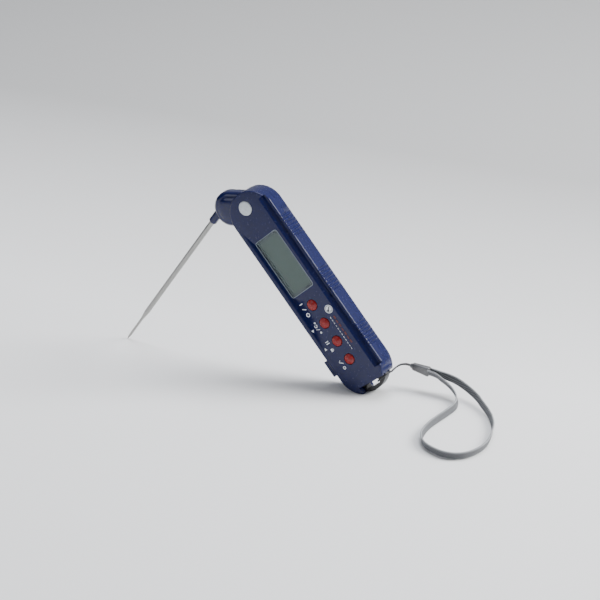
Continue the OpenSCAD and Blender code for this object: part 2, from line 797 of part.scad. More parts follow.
module strap_clasp() {
    along = clasp_to - clasp_from;
    turn = atan2(along[1], along[0]);
    rise = atan2(along[2], norm([along[0], along[1]]));
    color("#4e4e50") translate(clasp_from) rotate([0, -rise, turn])
        translate([0, -clasp_t / 2, -clasp_h / 2]) cube([norm(along), clasp_t, clasp_h]);
}

module strap_webbing() {
    h = web_w / 2;
    t = web_t / 2;
    section = [[h, -0.6 * t], [h, 0.6 * t], [h - t, t], [-h + t, t], [-h, 0.6 * t],
        [-h, -0.6 * t], [-h + t, -t], [h - t, -t]];
    color("#6b6b6b") sweep(smooth(web_route, 2), section, [0, 0, 1]);
}

front_shell();
back_shell();
display_window();
lcd_module();
lcd_frame();
contact_strips();
circuit_board();
controller_chip();
key_domes();
key_power();
key_units();
key_hold();
key_set();
buzzer();
battery_holder();
battery_contact_minus();
battery_contact_plus();
battery_cell();
battery_cover();
battery_cover_seal();
case_screws();
pivot_pin();
pivot_cap();
pivot_clip();
friction_washers();
probe_head_front();
probe_head_rear();
head_screws();
probe_collar();
probe_tube();
sensor_bead();
sensor_leads();
lanyard_bail();
strap_lead();
strap_clasp();
strap_webbing();
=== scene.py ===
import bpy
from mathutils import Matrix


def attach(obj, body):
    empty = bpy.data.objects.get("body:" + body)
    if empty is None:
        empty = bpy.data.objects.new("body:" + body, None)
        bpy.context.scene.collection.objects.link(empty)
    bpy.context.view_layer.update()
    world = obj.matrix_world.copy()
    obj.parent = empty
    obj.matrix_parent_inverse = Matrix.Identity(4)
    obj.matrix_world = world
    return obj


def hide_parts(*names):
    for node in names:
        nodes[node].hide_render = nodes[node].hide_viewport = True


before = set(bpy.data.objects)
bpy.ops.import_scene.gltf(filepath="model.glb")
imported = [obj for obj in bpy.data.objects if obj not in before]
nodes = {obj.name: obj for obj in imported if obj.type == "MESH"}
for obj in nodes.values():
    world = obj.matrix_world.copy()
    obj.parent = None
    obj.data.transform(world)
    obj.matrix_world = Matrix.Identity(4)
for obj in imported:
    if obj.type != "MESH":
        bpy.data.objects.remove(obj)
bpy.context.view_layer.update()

import math
import bmesh
import bpy
from mathutils import Matrix, Vector

mm = 0.001

# The case leans back and the probe splays out: the same stance as the model
stance = {
    "lean": 40.5,       # degrees, case from upright
    "splay": 35.5594,   # degrees, probe from upright
    "pivotX": -0.8195,  # mm
    "frontY": -7.6,     # mm, front face of the case
    "pivotZ": 110.1409,
}
pivotPoint = Vector((stance["pivotX"], stance["frontY"], stance["pivotZ"])) * mm
caseSpot = (Matrix.Translation(pivotPoint)
            @ Matrix.Rotation(math.radians(-stance["lean"]), 4, "Y") @ Matrix.Scale(mm, 4))
probeSpot = (Matrix.Translation(pivotPoint)
             @ Matrix.Rotation(math.radians(stance["splay"]), 4, "Y") @ Matrix.Scale(mm, 4))

print("camera")
# angles in degrees, distance and aim in mm
cameraSet = {"azimuth": 28.77, "elevation": 21.507, "distance": 1510.8, "lens": 144,
             "sensor": 36, "aim": (39.2966 - 0.8195, -7.6, 55.808)}
az, el = math.radians(cameraSet["azimuth"]), math.radians(cameraSet["elevation"])
back = Vector((math.sin(az) * math.cos(el), -math.cos(az) * math.cos(el), math.sin(el)))
cameraData = bpy.data.cameras.new("camera")
cameraData.lens = cameraSet["lens"]
cameraData.sensor_width = cameraSet["sensor"]
camera = bpy.data.objects.new("camera", cameraData)
bpy.context.scene.collection.objects.link(camera)
camera.location = (Vector(cameraSet["aim"]) + back * cameraSet["distance"]) * mm
camera.rotation_euler = back.to_track_quat("Z", "Y").to_euler()
bpy.context.scene.camera = camera



def srgb(text, alpha=1.0):
    parts = [int(text[i:i + 2], 16) / 255 for i in (1, 3, 5)]
    linear = [c / 12.92 if c <= 0.04045 else ((c + 0.055) / 1.055) ** 2.4 for c in parts]
    return (*linear, alpha)


def addNode(mat, kind, settings=None, links=None):
    # settings: socket or property values; links: input name -> (node, output name)
    node = mat.node_tree.nodes.new(kind)
    for name, value in (settings or {}).items():
        if isinstance(name, int) or name in node.inputs:
            node.inputs[name].default_value = value
        else:
            setattr(node, name, value)
    for name, (source, output) in (links or {}).items():
        mat.node_tree.links.new(source.outputs[output], node.inputs[name])
    return node


def newMaterial(name, color, **values):
    mat = bpy.data.materials.new(name)
    mat.use_nodes = True
    shader = mat.node_tree.nodes["Principled BSDF"]
    shader.inputs["Base Color"].default_value = srgb(color)
    for key, value in values.items():
        shader.inputs[key].default_value = value
    return mat, shader


def colorRamp(mat, source, output, stops):
    ramp = addNode(mat, "ShaderNodeValToRGB", links={"Fac": (source, output)})
    elements = ramp.color_ramp.elements
    while len(elements) < len(stops):
        elements.new(0.5)
    for element, (place, color) in zip(elements, stops):
        element.position = place
        element.color = srgb(color) if isinstance(color, str) else (color, color, color, 1)
    return ramp


def linkTo(mat, source, output, shader, socket):
    mat.node_tree.links.new(source.outputs[output], shader.inputs[socket])


def mottle(mat, shader, size, colors=None, rough=None, bump=None, detail=3.0, stretch=None):
    # size in mm is the width of one blotch or grain
    place = addNode(mat, "ShaderNodeTexCoord")
    source, output = place, "Object"
    if stretch:
        source = addNode(mat, "ShaderNodeMapping", {"Scale": stretch},
                         {"Vector": (place, "Object")})
        output = "Vector"
    noise = addNode(mat, "ShaderNodeTexNoise", {"Scale": 1 / (size * mm), "Detail": detail},
                    {"Vector": (source, output)})
    if colors:
        ramp = colorRamp(mat, noise, "Fac", [(0.3, colors[0]), (0.7, colors[1])])
        linkTo(mat, ramp, "Color", shader, "Base Color")
    if rough:
        ramp = colorRamp(mat, noise, "Fac", [(0.3, rough[0]), (0.7, rough[1])])
        linkTo(mat, ramp, "Color", shader, "Roughness")
    if bump:
        bumpNode = addNode(mat, "ShaderNodeBump", {"Strength": bump[0], "Distance": bump[1] * mm},
                           {"Height": (noise, "Fac")})
        linkTo(mat, bumpNode, "Normal", shader, "Normal")
    return noise


def finishPiece(bm, name, mat, spot, smooth=30):
    # puts the finished mesh in its place, with its object left at the origin
    bmesh.ops.transform(bm, matrix=spot, verts=bm.verts)
    bmesh.ops.recalc_face_normals(bm, faces=bm.faces)
    mesh = bpy.data.meshes.new(name)
    bm.to_mesh(mesh)
    bm.free()
    piece = bpy.data.objects.new(name, mesh)
    bpy.context.scene.collection.objects.link(piece)
    mesh.materials.append(mat)
    if smooth:
        mesh.shade_smooth()
        mesh.set_sharp_from_angle(angle=math.radians(smooth))
    return piece

print("materials")
# Injection moulded ABS: deep navy, fairly glossy, with a very fine orange peel
casePlastic, shader = newMaterial("mouldedNavyAbs", "#0b1342", Roughness=0.3, IOR=1.5)
mottle(casePlastic, shader, 1.6, ("#0a123f", "#0c1546"), (0.22, 0.28), (0.03, 0.02))
shader.inputs["Specular IOR Level"].default_value = 0.34

# The head comes from the same ABS but a smoother tool: sharper highlights
headPlastic, shader = newMaterial("polishedNavyAbs", "#0d1748", Roughness=0.16, IOR=1.5)
mottle(headPlastic, shader, 2.5, ("#0a123f", "#0c1546"), (0.13, 0.2), (0.05, 0.10))
shader.inputs["Specular IOR Level"].default_value = 0.45

# Glass-filled nylon: near black, satin, slightly cloudy
blackPlastic, shader = newMaterial("satinBlackNylon", "#121317", Roughness=0.35, IOR=1.53)
mottle(blackPlastic, shader, 0.8, ("#0f1014", "#17181c"), (0.3, 0.45), (0.12, 0.08))

# Silicone keys: deep saturated red with a small clear highlight on each dome
siliconeRed, shader = newMaterial("siliconeRed", "#840709", Roughness=0.24, IOR=1.45)
mottle(siliconeRed, shader, 0.5, ("#7c0608", "#8e090c"), (0.2, 0.3), (0.05, 0.04))
shader.inputs["Subsurface Weight"].default_value = 0.1
shader.inputs["Subsurface Radius"].default_value = (0.002, 0.0004, 0.0003)

# Nitrile seals and carbon-striped contact rubber: matt charcoal
sealRubber, shader = newMaterial("nitrileCharcoal", "#1e1e20", Roughness=0.8, IOR=1.5)
mottle(sealRubber, shader, 0.3, ("#1a1a1c", "#242426"), (0.7, 0.9), (0.2, 0.05))

# Acrylic window: clear with a slight grey-green cast
windowAcrylic, shader = newMaterial("clearAcrylic", "#82928d", Roughness=0.08, IOR=1.49, Alpha=0.16)
mottle(windowAcrylic, shader, 9, None, (0.05, 0.1))

# Screen: reflective liquid crystal, grey-green, with a film's fine grain
screenGlass, shader = newMaterial("liquidCrystal", "#314743", Roughness=0.35, IOR=1.5)
mottle(screenGlass, shader, 14, ("#2d433e", "#364c47"), (0.3, 0.4), detail=1)

# Solder mask over glass-fibre board: green, glossy, weave just showing
boardGreen, shader = newMaterial("solderMaskGreen", "#1d5233", Roughness=0.3, IOR=1.55)
mottle(boardGreen, shader, 1.1, ("#194a2e", "#225c3a"), (0.25, 0.4), (0.1, 0.03))

# Epoxy chip body: matt black
chipBlack, shader = newMaterial("mouldedEpoxy", "#101012", Roughness=0.6, IOR=1.55)
mottle(chipBlack, shader, 0.25, ("#0e0e10", "#151517"), (0.5, 0.7), (0.2, 0.02))

# Rolled spring steel: fine lines along the strip
springSteel, shader = newMaterial("rolledSpringSteel", "#b7b7b3", Metallic=1.0, Roughness=0.3)
mottle(springSteel, shader, 0.6, ("#aaa9a5", "#c1c1bd"), (0.22, 0.4), (0.1, 0.01),
       stretch=(1, 1, 6))

# Nickel-plated coin cell
cellSteel, shader = newMaterial("nickelPlate", "#c6c4bd", Metallic=1.0, Roughness=0.25)
mottle(cellSteel, shader, 2, ("#bdbbb4", "#cecdc6"), (0.18, 0.32))

# Ground stainless tube: grey, grinding marks run round it
probeSteel, shader = newMaterial("groundStainless", "#9c9b98", Metallic=1.0, Roughness=0.34)
mottle(probeSteel, shader, 1.2, ("#8d8c89", "#a9a8a5"), (0.26, 0.44), (0.15, 0.01),
       stretch=(4, 1, 6))

# Painted silver cap: pale and satin, faintly clouded
capSilver, shader = newMaterial("silverLacquer", "#c9ced3", Metallic=0.35, Roughness=0.42)
mottle(capSilver, shader, 1.5, ("#bfc5ca", "#d2d7db"), (0.35, 0.5), (0.08, 0.02))

# Brass disc of the buzzer and bronze washers
brassDisc, shader = newMaterial("rolledBrass", "#c9a24a", Metallic=1.0, Roughness=0.3)
mottle(brassDisc, shader, 1.0, ("#bd963f", "#d3ad57"), (0.25, 0.4))
washerBronze, shader = newMaterial("sinteredBronze", "#9b8f6a", Metallic=1.0, Roughness=0.5)
mottle(washerBronze, shader, 0.3, ("#8f835f", "#a59974"), (0.4, 0.6), (0.2, 0.01))

# Pad-printed ink: flat white and red, slightly broken where the pad left pinholes
inkWhite, shader = newMaterial("padInkWhite", "#eef1f6", Roughness=0.55, IOR=1.5)
mottle(inkWhite, shader, 0.35, ("#e2e6ee", "#f6f8fb"), (0.5, 0.65))
inkRed, shader = newMaterial("padInkRed", "#560812", Roughness=0.5, IOR=1.5)
mottle(inkRed, shader, 0.35, ("#4c060e", "#600a15"), (0.45, 0.6))
# The light grey window rim is a painted highlight: it stands in for the light caught by the
# polished edge of the acrylic window.
edgeHighlightGrey, shader = newMaterial("paintedEdgeHighlight", "#7d8894", Roughness=0.3, IOR=1.49)
mottle(edgeHighlightGrey, shader, 2, ("#737e8b", "#87929d"), (0.25, 0.4))
marginGrey, shader = newMaterial("smokedMargin", "#29323f", Roughness=0.3, IOR=1.49)
mottle(marginGrey, shader, 3, ("#252e3b", "#2e3845"), (0.25, 0.35))

# Nickel-plated crimp of the strap: mid grey, satin, light on top
claspGrey, shader = newMaterial("satinCrimp", "#6b6b6c", Metallic=0.6, Roughness=0.36)
mottle(claspGrey, shader, 1.0, ("#626263", "#747475"), (0.3, 0.44), (0.1, 0.02))


# Woven polyester: u runs along the strap and v round its section, both in mm
def wovenMaterial(name, dark, light, pitch, across, rough=0.75):
    mat, shader = newMaterial(name, light, Roughness=rough, IOR=1.5)
    uv = addNode(mat, "ShaderNodeUVMap", {"uv_map": "along"})
    diagonal = addNode(mat, "ShaderNodeMapping", {"Scale": (1 / pitch, 1 / across, 1)},
                       {"Vector": (uv, "UV")})
    wave = addNode(mat, "ShaderNodeTexWave",
                   {"wave_type": "BANDS", "bands_direction": "DIAGONAL", "Scale": 0.6,
                    "Distortion": 0.6, "Detail": 2.0, "Detail Scale": 1.5},
                   {"Vector": (diagonal, "Vector")})
    noise = addNode(mat, "ShaderNodeTexNoise", {"Scale": 1.8, "Detail": 3.0},
                    {"Vector": (diagonal, "Vector")})
    mixed = addNode(mat, "ShaderNodeMath", {"operation": "MULTIPLY_ADD", 1: 0.65, 2: 0.1},
                    {0: (wave, "Fac")})
    total = addNode(mat, "ShaderNodeMath", {"operation": "MULTIPLY_ADD", 1: 0.35},
                    {0: (noise, "Fac"), 2: (mixed, "Value")})
    ramp = colorRamp(mat, total, "Value", [(0.3, dark), (0.7, light)])
    linkTo(mat, ramp, "Color", shader, "Base Color")
    bump = addNode(mat, "ShaderNodeBump", {"Strength": 0.8, "Distance": 0.25 * mm},
                   {"Height": (total, "Value")})
    linkTo(mat, bump, "Normal", shader, "Normal")
    shader.inputs["Sheen Weight"].default_value = 0.1
    shader.inputs["Sheen Roughness"].default_value = 0.5
    return mat, shader


webbingGrey, shader = wovenMaterial("wovenPolyester", "#1c1d1f", "#75777a", 1.5, 1.5)
cordBlack, shader = wovenMaterial("twistedNylon", "#141416", "#3c3c3f", 0.6, 0.6, 0.6)
selvedgePale, shader = wovenMaterial("paleSelvedge", "#6a6c6e", "#a8aaac", 1.5, 0.8)

nodeFinish = {
    "front_shell": casePlastic, "back_shell": casePlastic, "battery_cover": casePlastic,
    "display_window": windowAcrylic, "lcd_module": screenGlass, "lcd_frame": blackPlastic,
    "contact_strips": sealRubber, "circuit_board": boardGreen, "controller_chip": chipBlack,
    "key_domes": springSteel, "key_power": siliconeRed, "key_units": siliconeRed,
    "key_hold": siliconeRed, "key_set": siliconeRed, "buzzer": brassDisc,
    "battery_holder": blackPlastic, "battery_contact_minus": springSteel,
    "battery_contact_plus": springSteel, "battery_cell": cellSteel,
    "battery_cover_seal": sealRubber, "case_screws": springSteel, "pivot_pin": probeSteel,
    "pivot_cap": capSilver, "pivot_clip": springSteel, "friction_washers": washerBronze,
    "probe_head_front": headPlastic, "probe_head_rear": blackPlastic,
    "head_screws": springSteel, "probe_collar": headPlastic, "probe_tube": probeSteel,
    "sensor_bead": chipBlack, "sensor_leads": springSteel, "lanyard_bail": blackPlastic,
    "strap_lead": cordBlack, "strap_clasp": claspGrey, "strap_webbing": webbingGrey,
}
for name, mat in nodeFinish.items():
    nodes[name].data.materials.clear()
    nodes[name].data.materials.append(mat)

print("strap")
strapSet = {
    "lead": [(105, 19, 14.8), (101, 18.4, 15.3), (98, 16.6, 15), (96.2, 13.8, 13.8),
             (94.8, 10.2, 12.2), (93.5, 7, 10.8), (91.9, 4.6, 9.7), (91.8, 3, 9.4),
             (91.7, 0.6, 9.4), (91.8, -1.8, 9.4), (92, -3, 9.8), (93.8, -3.2, 11.6),
             (96, -3.2, 13.7), (97.3, -3, 15), (97.8, -1.8, 15.3), (97.8, 0.4, 15.3),
             (97.7, 3, 15.2), (96.7, 6.4, 13.6), (96.3, 10, 13.6), (97, 13.2, 14.4),
             (98.8, 15.9, 15.2), (101.4, 17.5, 15.2), (105, 18.2, 14.6)],
    "webbing": [(116.5, 19.5, 13.2), (123, 20, 12.2), (129, 21, 11), (135, 21, 9.6),
                (141, 19.5, 8), (147, 17, 6.4), (153, 13.5, 4.8), (159, 8, 3.6),
                (165, 2, 2.9), (171, -5.5, 2.6), (177, -15.5, 2.6), (181, -26.5, 2.6),
                (184, -38.5, 2.6), (184.5, -47.5, 2.6), (183, -55.5, 2.6), (180, -62, 2.6),
                (175, -66, 2.6), (168, -67, 2.6), (161, -65, 2.6), (155, -62, 2.6),
                (150, -57.5, 2.6), (146, -51.5, 2.6), (143.5, -43.5, 2.6),
                (142.5, -33.5, 2.6), (143, -22.5, 2.6), (144, -11.5, 2.6),
                (144.5, -1.5, 2.9), (142.5, 6, 3.6), (138.5, 11.5, 5.4), (133, 14.5, 8.2),
                (127, 16, 10.6), (122.5, 17, 12.2), (116.5, 17, 13.2)],
    "leadDiameter": 1.0, "webWidth": 5.0, "webThickness": 0.9,
}


def smoothLine(route, steps):
    points = [Vector(p) for p in route]
    line = []
    for i in range(len(points) - 1):
        p0, p1, p2 = points[max(i - 1, 0)], points[i], points[i + 1]
        p3 = points[min(i + 2, len(points) - 1)]
        for k in range(steps):
            t = k / steps
            line.append(0.5 * (2 * p1 + (p2 - p0) * t + (2 * p0 - 5 * p1 + 4 * p2 - p3) * t * t
                               + (3 * p1 - p0 - 3 * p2 + p3) * t ** 3))
    return line + [points[-1]]


def sweepAlong(name, line, section, materials, faceMaterial=None):
    # section: points as (up, sideways) in mm; the uv map holds mm along and mm round
    bm = bmesh.new()
    uvLayer = bm.loops.layers.uv.new("along")
    rings, lengths, side = [], [0.0], Vector((0, 0, 1))
    for i, point in enumerate(line):
        ahead = (line[min(i + 1, len(line) - 1)] - line[max(i - 1, 0)]).normalized()
        side = (side - side.dot(ahead) * ahead).normalized()
        up = ahead.cross(side)
        rings.append([bm.verts.new(point + side * a + up * b) for a, b in section])
        if i:
            lengths.append(lengths[-1] + (point - line[i - 1]).length)
    count = len(section)
    around = [0.0]
    for k in range(count):
        here, after = Vector(section[k]), Vector(section[(k + 1) % count])
        around.append(around[-1] + (after - here).length)
    for i in range(len(line) - 1):
        for k in range(count):
            n = (k + 1) % count
            face = bm.faces.new((rings[i][k], rings[i + 1][k], rings[i + 1][n], rings[i][n]))
            corners = ((lengths[i], around[k]), (lengths[i + 1], around[k]),
                       (lengths[i + 1], around[k + 1]), (lengths[i], around[k + 1]))
            for loop, uv in zip(face.loops, corners):
                loop[uvLayer].uv = uv
            if faceMaterial:
                face.material_index = faceMaterial(k)
    bm.faces.new(rings[0])
    bm.faces.new(rings[-1])
    piece = finishPiece(bm, name, materials[0], Matrix.Scale(mm, 4), 50)
    for mat in materials[1:]:
        piece.data.materials.append(mat)
    return piece


leadLine = smoothLine(strapSet["lead"], 8)
radius = strapSet["leadDiameter"] / 2
leadSection = [(radius * math.cos(math.tau * k / 12), radius * math.sin(math.tau * k / 12))
               for k in range(12)]
strapLead = sweepAlong("strapLead", leadLine, leadSection, [cordBlack])
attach(strapLead, "case")
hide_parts("strap_lead")

webLine = smoothLine(strapSet["webbing"], 8)
half, thin = strapSet["webWidth"] / 2, strapSet["webThickness"] / 2
# the two selvedges are a little thicker than the field between them
webSection = [(half, -0.4 * thin), (half, 0.4 * thin), (half - 0.25, thin), (half - 0.8, thin),
              (half - 1.0, 0.75 * thin), (0.9, 0.72 * thin), (0.6, 0.8 * thin),
              (-0.6, 0.8 * thin), (-0.9, 0.72 * thin), (-half + 1.0, 0.75 * thin),
              (-half + 0.8, thin), (-half + 0.25, thin), (-half, 0.4 * thin),
              (-half, -0.4 * thin), (-half + 0.25, -thin), (-half + 0.8, -thin),
              (-half + 1.0, -0.75 * thin), (-0.9, -0.72 * thin), (-0.6, -0.8 * thin),
              (0.6, -0.8 * thin), (0.9, -0.72 * thin), (half - 1.0, -0.75 * thin),
              (half - 0.8, -thin), (half - 0.25, -thin)]
paleFaces = {1, 2, 11, 12, 13, 14, 22, 23, 0}
strapWebbing = sweepAlong("strapWebbing", webLine, webSection, [webbingGrey, selvedgePale],
                          lambda k: 1 if k in paleFaces else 0)
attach(strapWebbing, "case")
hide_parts("strap_webbing")


def addRoundBox(bm, center, size, radius):
    part = bmesh.new()
    bmesh.ops.create_cube(part, size=1)
    bmesh.ops.scale(part, vec=size, verts=part.verts)
    bmesh.ops.bevel(part, geom=list(part.edges), offset=radius, offset_type="OFFSET",
                    affect="EDGES", segments=3, profile=0.5, material=-1)
    bmesh.ops.translate(part, vec=center, verts=part.verts)
    holder = bpy.data.meshes.new("holder")
    part.to_mesh(holder)
    part.free()
    bm.from_mesh(holder)
    bpy.data.meshes.remove(holder)


# a smooth crimp: the body narrows to a nose where the cord goes in. Lengths along the clasp are
# shares of its own length
claspSet = {"from": (104, 18.7, 14.5), "to": (117.5, 18.4, 13),
            "body": 0.92, "bodyMiddle": 0.54, "thick": 4.4, "tall": 6.2, "round": 1.15,
            "narrowThick": 0.74, "narrowTall": 0.76, "lift": 0.2,
            "nose": 0.14, "noseMiddle": 0.06, "noseThick": 2.2, "noseTall": 3.0, "noseUp": 0.3,
            "noseRound": 0.7}
claspStart, claspEnd = Vector(claspSet["from"]), Vector(claspSet["to"])
claspLength = (claspEnd - claspStart).length
claspSpot = (Matrix.Scale(mm, 4) @ Matrix.Translation(claspStart)
             @ (claspEnd - claspStart).to_track_quat("X", "Z").to_matrix().to_4x4())
clasp = bmesh.new()
bmesh.ops.create_cube(clasp, size=1)
bmesh.ops.scale(clasp, vec=(claspLength * claspSet["body"], claspSet["thick"], claspSet["tall"]),
                verts=clasp.verts)
for vert in clasp.verts:
    if vert.co.x < 0:
        vert.co.y *= claspSet["narrowThick"]
        vert.co.z = vert.co.z * claspSet["narrowTall"] + claspSet["lift"]
bmesh.ops.bevel(clasp, geom=list(clasp.edges), offset=claspSet["round"], offset_type="OFFSET",
                affect="EDGES", segments=6, profile=0.5, material=-1)
bmesh.ops.translate(clasp, vec=(claspLength * claspSet["bodyMiddle"], 0, 0), verts=clasp.verts)
addRoundBox(clasp, (claspLength * claspSet["noseMiddle"], 0, claspSet["noseUp"]),
            (claspLength * claspSet["nose"], claspSet["noseThick"], claspSet["noseTall"]),
            claspSet["noseRound"])
strapClasp = finishPiece(clasp, "strapClasp", claspGrey, claspSpot, 40)
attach(strapClasp, "case")
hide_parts("strap_clasp")

print("case")


def softCopy(name, node, mat, body, angle=32):
    # a merged copy of a model piece, shaded smooth except at its real edges
    source = nodes[node].data
    bm = bmesh.new()
    bm.from_mesh(source)
    bmesh.ops.remove_doubles(bm, verts=bm.verts, dist=1e-6)
    bmesh.ops.dissolve_limit(bm, angle_limit=math.radians(0.6), use_dissolve_boundaries=False,
                             verts=bm.verts, edges=bm.edges)
    mesh = bpy.data.meshes.new(name)
    bm.to_mesh(mesh)
    bm.free()
    piece = bpy.data.objects.new(name, mesh)
    bpy.context.scene.collection.objects.link(piece)
    mesh.materials.append(mat)
    mesh.shade_smooth()
    mesh.set_sharp_from_angle(angle=math.radians(angle))
    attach(piece, body)
    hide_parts(node)
    return piece


softCopy("caseFront", "front_shell", casePlastic, "case")
softCopy("caseBack", "back_shell", casePlastic, "case")
softCopy("eyelet", "lanyard_bail", blackPlastic, "case", 40)
softCopy("batteryDoor", "battery_cover", casePlastic, "battery_door", 40)
softCopy("probeTube", "probe_tube", probeSteel, "probe", 35)
softCopy("probeCollar", "probe_collar", headPlastic, "probe", 35)


def spinProfile(name, points, mat, spot, steps=64, smooth=35):
    # points: (radius, depth) pairs, turned about the depth axis
    bm = bmesh.new()
    verts = [bm.verts.new((r, y, 0)) for r, y in points]
    edges = [bm.edges.new(pair) for pair in zip(verts, verts[1:])]
    bmesh.ops.spin(bm, geom=verts + edges, cent=(0, 0, 0), axis=(0, 1, 0),
                   angle=math.tau, steps=steps, use_merge=True)
    bmesh.ops.remove_doubles(bm, verts=bm.verts, dist=1e-4)
    return finishPiece(bm, name, mat, spot, smooth)


def arcPoints(cx, cy, radius, start, end, count):
    return [(cx + radius * math.cos(math.radians(start + (end - start) * i / count)),
             cy + radius * math.sin(math.radians(start + (end - start) * i / count)))
            for i in range(count + 1)]


# The shoulder's crest has a fine bead that catches the light. It runs plain between the grip
# ribs and breaks into one short length on each rib
beadSet = {"radius": 0.8, "crestU": 16.93, "crestDepth": 2.78, "crestFrom": 4.0, "crestTo": 127.4,
           "ribFrom": 18.0, "ribGroup": 41.3, "ribPitch": 2.5, "ribCount": 6, "ribLength": 0.9,
           "groups": 3, "gap": 1.6}
stretches, start = [], beadSet["crestFrom"]
for group in range(beadSet["groups"]):
    first = beadSet["ribFrom"] + group * beadSet["ribGroup"]
    stretches.append((start, first - beadSet["gap"]))
    for i in range(beadSet["ribCount"]):
        middle = first + i * beadSet["ribPitch"]
        stretches.append((middle - beadSet["ribLength"] / 2, middle + beadSet["ribLength"] / 2))
    start = first + (beadSet["ribCount"] - 1) * beadSet["ribPitch"] + beadSet["gap"]
stretches.append((start, beadSet["crestTo"]))
bm = bmesh.new()
for w0, w1 in stretches:
    spot = Matrix.Translation((beadSet["crestU"], beadSet["crestDepth"], -(w0 + w1) / 2))
    bmesh.ops.create_cone(bm, cap_ends=True, segments=16, radius1=beadSet["radius"],
                          radius2=beadSet["radius"], depth=w1 - w0, matrix=spot)
crestBead = finishPiece(bm, "crestBead", headPlastic, caseSpot, 50)
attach(crestBead, "case")


print("keys")
keySet = {"radius": 3.5, "proud": 1.3, "first": 73.9, "pitch": 13.7, "edge": 0.7, "dome": 0.75,
          "flange": 0.9, "flangeFrom": 2.15, "flangeTo": 2.95, "stem": 1.6, "stemTo": 5.2}
keyPlaces = {"power": 0, "units": 1, "hold": 2, "set": 3}
for word, row in keyPlaces.items():
    r, top, edge = keySet["radius"], -keySet["proud"], keySet["edge"]
    dome, flange, stem = keySet["dome"], r + keySet["flange"], keySet["stem"]
    outline = [(0, top)] + [(x, top + dome * (x / (r - edge)) ** 2) for x in (0.7, 1.4, 2.1)]
    outline += arcPoints(r - edge, top + dome + edge, edge, -90, 0, 6)
    outline += [(r, keySet["flangeFrom"]), (flange, keySet["flangeFrom"]),
                (flange, keySet["flangeTo"]), (stem, keySet["flangeTo"]),
                (stem, keySet["stemTo"]), (0, keySet["stemTo"])]
    spot = caseSpot @ Matrix.Translation((0, 0, -keySet["first"] - row * keySet["pitch"]))
    key = spinProfile("key" + word.capitalize(), outline, siliconeRed, spot)
    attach(key, word + "_key")
    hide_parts("key_" + word)

print("screen")
windowSet = {"middle": 0.3, "top": 21.5, "width": 19.8, "height": 42.4, "corner": 1.8,
             "rim": 0.36, "rimDepths": (0.06, 0.33), "rimInset": 0.02,
             "marginInset": 0.35, "marginSide": 1.6, "marginEnd": 2.2, "marginDepths": (1.47, 1.53),
             "plateSide": 1.25, "plateEnd": 1.85, "plateDepths": (1.85, 2.15)}


def roundOutline(width, height, radius, u, w, count=6):
    # a rounded rectangle as (u, w) points, centred on u and w
    points = []
    for sideU, sideW, start in ((1, 1, 0), (-1, 1, 90), (-1, -1, 180), (1, -1, 270)):
        points += arcPoints(u + sideU * (width / 2 - radius), w + sideW * (height / 2 - radius),
                            radius, start, start + 90, count)
    return points


def addPlate(bm, outline, y0, y1, hole=None):
    # a flat plate between two depths, with an optional hole of the same number of points
    levels = [[bm.verts.new((u, y, -w)) for u, w in outline] for y in (y0, y1)]
    count = len(outline)
    if hole:
        levels += [[bm.verts.new((u, y, -w)) for u, w in hole] for y in (y1, y0)]
        levels.append(levels[0])
    else:
        bm.faces.new(levels[0])
        bm.faces.new(levels[1])
    for lower, upper in zip(levels, levels[1:]):
        for k in range(count):
            n = (k + 1) % count
            bm.faces.new((lower[k], lower[n], upper[n], upper[k]))


def windowOutline(inset, insetEnd=None):
    end = inset if insetEnd is None else insetEnd
    return roundOutline(windowSet["width"] - 2 * inset, windowSet["height"] - 2 * end,
                        max(windowSet["corner"] - inset, 0.4), windowSet["middle"],
                        windowSet["top"] + windowSet["height"] / 2)


bm = bmesh.new()
addPlate(bm, windowOutline(windowSet["plateSide"], windowSet["plateEnd"]),
         *windowSet["plateDepths"])
screenPlate = finishPiece(bm, "screenPlate", screenGlass, caseSpot)
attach(screenPlate, "case")
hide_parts("lcd_module")

# the rim: a thin light grey ring round the window, a painted highlight of its polished edge
bm = bmesh.new()
addPlate(bm, windowOutline(windowSet["rimInset"]), *windowSet["rimDepths"],
         windowOutline(windowSet["rim"]))
windowRim = finishPiece(bm, "windowRim", edgeHighlightGrey, caseSpot)
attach(windowRim, "case")

bm = bmesh.new()
addPlate(bm, windowOutline(windowSet["marginInset"]), *windowSet["marginDepths"],
         windowOutline(windowSet["marginSide"], windowSet["marginEnd"]))
windowMargin = finishPiece(bm, "windowMargin", marginGrey, caseSpot)
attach(windowMargin, "case")


print("printing")
# Places are (u, w): u across the case, w down it from the pivot pin. The labels' parts are
# given from the middle of their row, with their tops toward +u
inkSet = {
    "proud": -0.05, "sunk": 0.02, "line": 0.5, "labelU": -6.85, "half": 1.25,
    # power: a line, a slash and a ring; units: two degree rings, an arc and a slash;
    # hold: two bars and a closed lock; set: a tick and a ring
    "ring": (77.6, 1.15), "degrees": (84.2, 91.3), "degreeUp": 0.6, "degreeRadius": 0.42,
    "arc": (86.2, 0.9), "lock": 104.4, "setRing": (117.9, 0.85),
    "triangleU": -10.9, "triangleSize": 1.7,
    "dashU": 6.2, "dashFrom": 86.4, "dashLength": 1.2, "dashPitch": 2.1, "dashes": 12,
    "dashWide": 0.3,
    "blockU": 8.9, "blockFrom": 88.2, "blockPitch": 3.0, "blocks": 7, "blockSize": (1.3, 2.2, 0.3),
    "badge": (8.7, 81.8), "badgeRadius": 2.8, "badgeRing": 2.2, "badgeLift": -0.04,
}


def addInk(bm, outline, hole=None):
    addPlate(bm, outline, inkSet["proud"], inkSet["sunk"], hole)


def addStroke(bm, start, end, width=inkSet["line"]):
    (u0, w0), (u1, w1) = start, end
    long = math.hypot(u1 - u0, w1 - w0)
    du, dw = (w1 - w0) / long * width / 2, -(u1 - u0) / long * width / 2
    addInk(bm, [(u0 - du, w0 - dw), (u1 - du, w1 - dw), (u1 + du, w1 + dw), (u0 + du, w0 + dw)])


def addDisc(bm, u, w, radius, steps=28):
    addInk(bm, arcPoints(u, w, radius, 0, 360, steps)[:-1])


